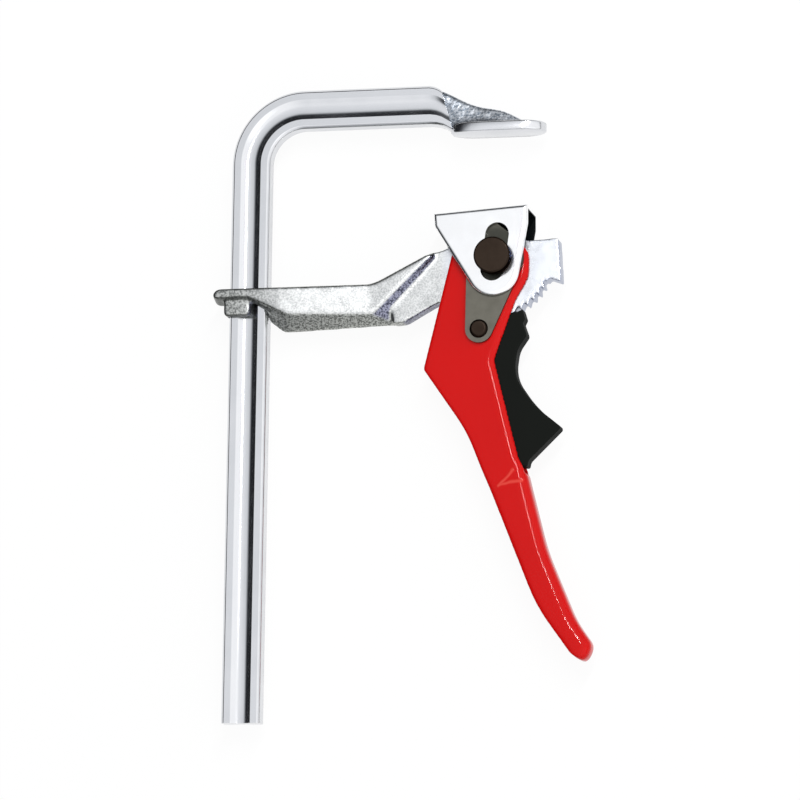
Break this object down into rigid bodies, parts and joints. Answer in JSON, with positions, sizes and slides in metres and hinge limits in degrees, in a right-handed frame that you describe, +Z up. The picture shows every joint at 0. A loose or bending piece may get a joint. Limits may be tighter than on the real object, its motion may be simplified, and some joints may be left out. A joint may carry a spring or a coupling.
{
  "type": "lever clamp",
  "caption": "All-steel lever clamp: grooved rail with fixed arm and pad, sliding arm, cam lever handle with a latch trigger, and a sliding pressure jaw.",
  "frame": {"origin": "middle of the underside of the clamp's box as it lies on its side", "axes": "+Y along the rail towards the fixed arm, +X from the rail towards the handle, +Z up through the clamp's thickness"},
  "size_m": [0.2168, 0.3564, 0.038],
  "materials": {
    "plated_steel": "bright plated steel, drawn",
    "forged_steel": "plated forging, slightly rough",
    "bright_sheet": "bright plated sheet",
    "black_steel": "blackened steel, satin",
    "grey_steel": "hardened steel, grey",
    "red_coating": "glossy red dip coating on pressed steel",
    "black_trigger": "satin black"
  },
  "bodies": {
    "rail": {"rail": "plated_steel"},
    "arm": {"sliding_arm": "forged_steel", "main_pin": "black_steel", "main_pin_washer": "black_steel", "main_pin_ring": "black_steel"},
    "lever": {"lever": "red_coating", "cam_plate_front": "grey_steel", "cam_plate_rear": "grey_steel", "lever_pin": "black_steel", "trigger_pin": "grey_steel", "trigger_spring": "grey_steel"},
    "jaw": {"pressure_bracket": "bright_sheet"},
    "trigger": {"trigger": "black_trigger"}
  },
  "joints": [
    {"name": "arm_slide", "type": "slide", "parent": "rail", "child": "arm", "axis": [0, 1, 0], "range_m": [-0.215, 0.04]},
    {"name": "lever_swing", "type": "hinge", "parent": "arm", "child": "lever", "pos_m": [0.05397, 0.07735, 0.0172], "axis": [0, 0, 1], "range_deg": [-8, 36]},
    {"name": "jaw_lift", "type": "slide", "parent": "arm", "child": "jaw", "axis": [0.1323, 0.9912, 0], "range_m": [-0.0085, 0.0022]},
    {"name": "trigger_pull", "type": "hinge", "parent": "lever", "child": "trigger", "pos_m": [0.04887, 0.02735, 0.0172], "axis": [0, 0, -1], "range_deg": [0, 8], "stiffness_Nm_per_rad": 0.4, "springref_deg": -11.46, "deforming": ["trigger_spring"]}
  ],
  "couplings": [
    {"joint": "jaw_lift", "follows": "lever_swing", "m_per_rad": -0.01296}
  ]
}
